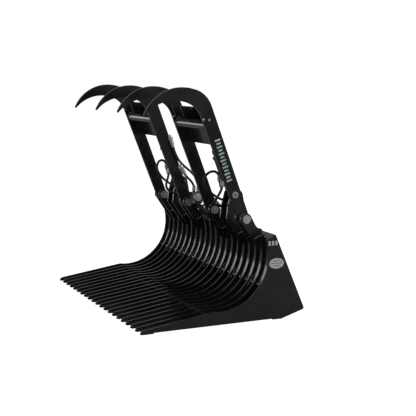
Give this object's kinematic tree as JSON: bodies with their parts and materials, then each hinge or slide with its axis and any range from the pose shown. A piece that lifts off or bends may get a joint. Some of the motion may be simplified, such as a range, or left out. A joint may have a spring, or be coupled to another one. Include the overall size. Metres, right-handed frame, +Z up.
{
  "type": "skid steer skeleton grapple bucket",
  "caption": "Skeleton rock bucket with two hydraulic grapple lids and a universal skid steer coupler, in gloss black steel.",
  "frame": {"origin": "middle of the footprint, on the ground", "axes": "+X across the bucket to its right side as seen from the loader looking forwards, +Y from the tine tips back to the coupler, +Z up"},
  "size_m": [1.676, 1.1456, 1.4459],
  "materials": {
    "black_paint": "gloss",
    "zinc_plate": "satin",
    "rod_chrome": "polished",
    "hose_rubber": "matte"
  },
  "bodies": {
    "bucket": {"side_plate_left": "black_paint", "side_plate_right": "black_paint", "tine_01": "black_paint", "tine_02": "black_paint", "tine_03": "black_paint", "tine_04": "black_paint", "tine_05": "black_paint", "tine_06": "black_paint", "tine_07": "black_paint", "tine_08": "black_paint", "tine_09": "black_paint", "tine_10": "black_paint", "tine_11": "black_paint", "tine_12": "black_paint", "tine_13": "black_paint", "tine_14": "black_paint", "tine_15": "black_paint", "tine_16": "black_paint", "tine_17": "black_paint", "tine_18": "black_paint", "tine_19": "black_paint", "back_sheet": "black_paint", "top_beam": "black_paint", "floor_cross_tube": "black_paint", "coupler_frame": "black_paint", "bracket_left_outer": "black_paint", "bracket_left_inner": "black_paint", "bracket_right_inner": "black_paint", "bracket_right_outer": "black_paint", "bracket_left_cylinder": "black_paint", "bracket_right_cylinder": "black_paint", "pin_left_outer": "zinc_plate", "pin_left_inner": "zinc_plate", "pin_right_inner": "zinc_plate", "pin_right_outer": "zinc_plate", "pin_left_cylinder": "zinc_plate", "pin_right_cylinder": "zinc_plate", "hydraulic_block": "black_paint", "base_hose_right": "hose_rubber", "rod_hose_right": "hose_rubber", "base_hose_left": "hose_rubber", "rod_hose_left": "hose_rubber", "supply_hose_long": "hose_rubber", "supply_hose_short": "hose_rubber", "quick_coupler_long": "zinc_plate", "quick_coupler_short": "zinc_plate"},
    "left_lid": {"claw_left_outer": "black_paint", "claw_left_inner": "black_paint", "left_lid_tube": "black_paint", "left_lid_plate": "black_paint", "left_rod_pin": "zinc_plate"},
    "right_lid": {"claw_right_outer": "black_paint", "claw_right_inner": "black_paint", "right_lid_tube": "black_paint", "right_lid_plate": "black_paint", "right_rod_pin": "zinc_plate"},
    "left_cylinder_barrel": {"left_barrel": "black_paint"},
    "left_cylinder_rod": {"left_rod": "rod_chrome"},
    "right_cylinder_barrel": {"right_barrel": "black_paint"},
    "right_cylinder_rod": {"right_rod": "rod_chrome"}
  },
  "joints": [
    {"name": "left_lid_hinge", "type": "hinge", "parent": "bucket", "child": "left_lid", "pos_m": [-0.4455, 0.18219, 0.628], "axis": [1, 0, 0], "range_deg": [0, 82]},
    {"name": "left_barrel_swing", "type": "hinge", "parent": "bucket", "child": "left_cylinder_barrel", "pos_m": [-0.4455, 0.22719, 0.745], "axis": [1, 0, 0], "range_deg": [0, 84.11], "deforming": ["base_hose_left", "rod_hose_left"]},
    {"name": "left_rod_slide", "type": "slide", "parent": "left_cylinder_barrel", "child": "left_cylinder_rod", "axis": [0, -0.355, 0.9349], "range_m": [0, 0.16376]},
    {"name": "right_lid_hinge", "type": "hinge", "parent": "bucket", "child": "right_lid", "pos_m": [0.4455, 0.18219, 0.628], "axis": [1, 0, 0], "range_deg": [0, 82]},
    {"name": "right_barrel_swing", "type": "hinge", "parent": "bucket", "child": "right_cylinder_barrel", "pos_m": [0.4455, 0.22719, 0.745], "axis": [1, 0, 0], "range_deg": [0, 84.11], "deforming": ["base_hose_right", "rod_hose_right"]},
    {"name": "right_rod_slide", "type": "slide", "parent": "right_cylinder_barrel", "child": "right_cylinder_rod", "axis": [0, -0.355, 0.9349], "range_m": [0, 0.16376]}
  ],
  "couplings": [
    {"joint": "left_barrel_swing", "follows": "left_lid_hinge", "ratio": 1.0245},
    {"joint": "left_rod_slide", "follows": "left_lid_hinge", "m_per_rad": 0.11428},
    {"joint": "right_barrel_swing", "follows": "right_lid_hinge", "ratio": 1.0245},
    {"joint": "right_rod_slide", "follows": "right_lid_hinge", "m_per_rad": 0.11428}
  ]
}
